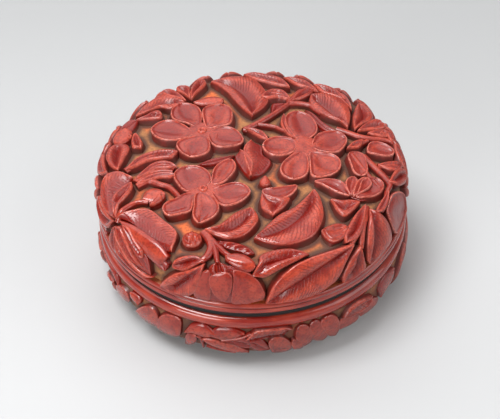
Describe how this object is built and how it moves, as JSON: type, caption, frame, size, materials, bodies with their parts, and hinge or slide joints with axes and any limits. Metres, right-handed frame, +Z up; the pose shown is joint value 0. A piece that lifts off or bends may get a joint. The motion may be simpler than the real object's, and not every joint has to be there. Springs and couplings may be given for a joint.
{
  "type": "seal box",
  "caption": "Round, low, domed box with a lift-off lid on an inner lip, carved all over in red lacquer with blossoms and leaves, on a wood core.",
  "frame": {"origin": "centre of the ring that the foot stands on", "axes": "+Z up along the box's axis, the way the lid lifts; -Y towards the front that the picture shows"},
  "size_m": [0.0762, 0.0765, 0.0346],
  "materials": {
    "carved_red_lacquer": "thick carved red lacquer, polished on the tops, over an ochre ground",
    "black_lacquer": "smooth black lacquer",
    "core_wood": "plain softwood, sealed",
    "lacquered_wood": "wood under a thin coat of black lacquer"
  },
  "bodies": {
    "base": {"base_carved_coat": "carved_red_lacquer", "base_floor_panel": "core_wood", "base_wall_hoop": "core_wood", "base_inner_lip": "lacquered_wood", "base_foot_ring": "lacquered_wood", "base_black_lining": "black_lacquer", "base_underside_coat": "black_lacquer"},
    "lid": {"lid_carved_coat": "carved_red_lacquer", "lid_top_panel": "core_wood", "lid_wall_hoop": "core_wood", "lid_black_lining": "black_lacquer"}
  },
  "joints": [
    {"name": "lid_lift", "type": "slide", "parent": "base", "child": "lid", "axis": [0, 0, 1], "range_m": [0, 0.035]}
  ]
}
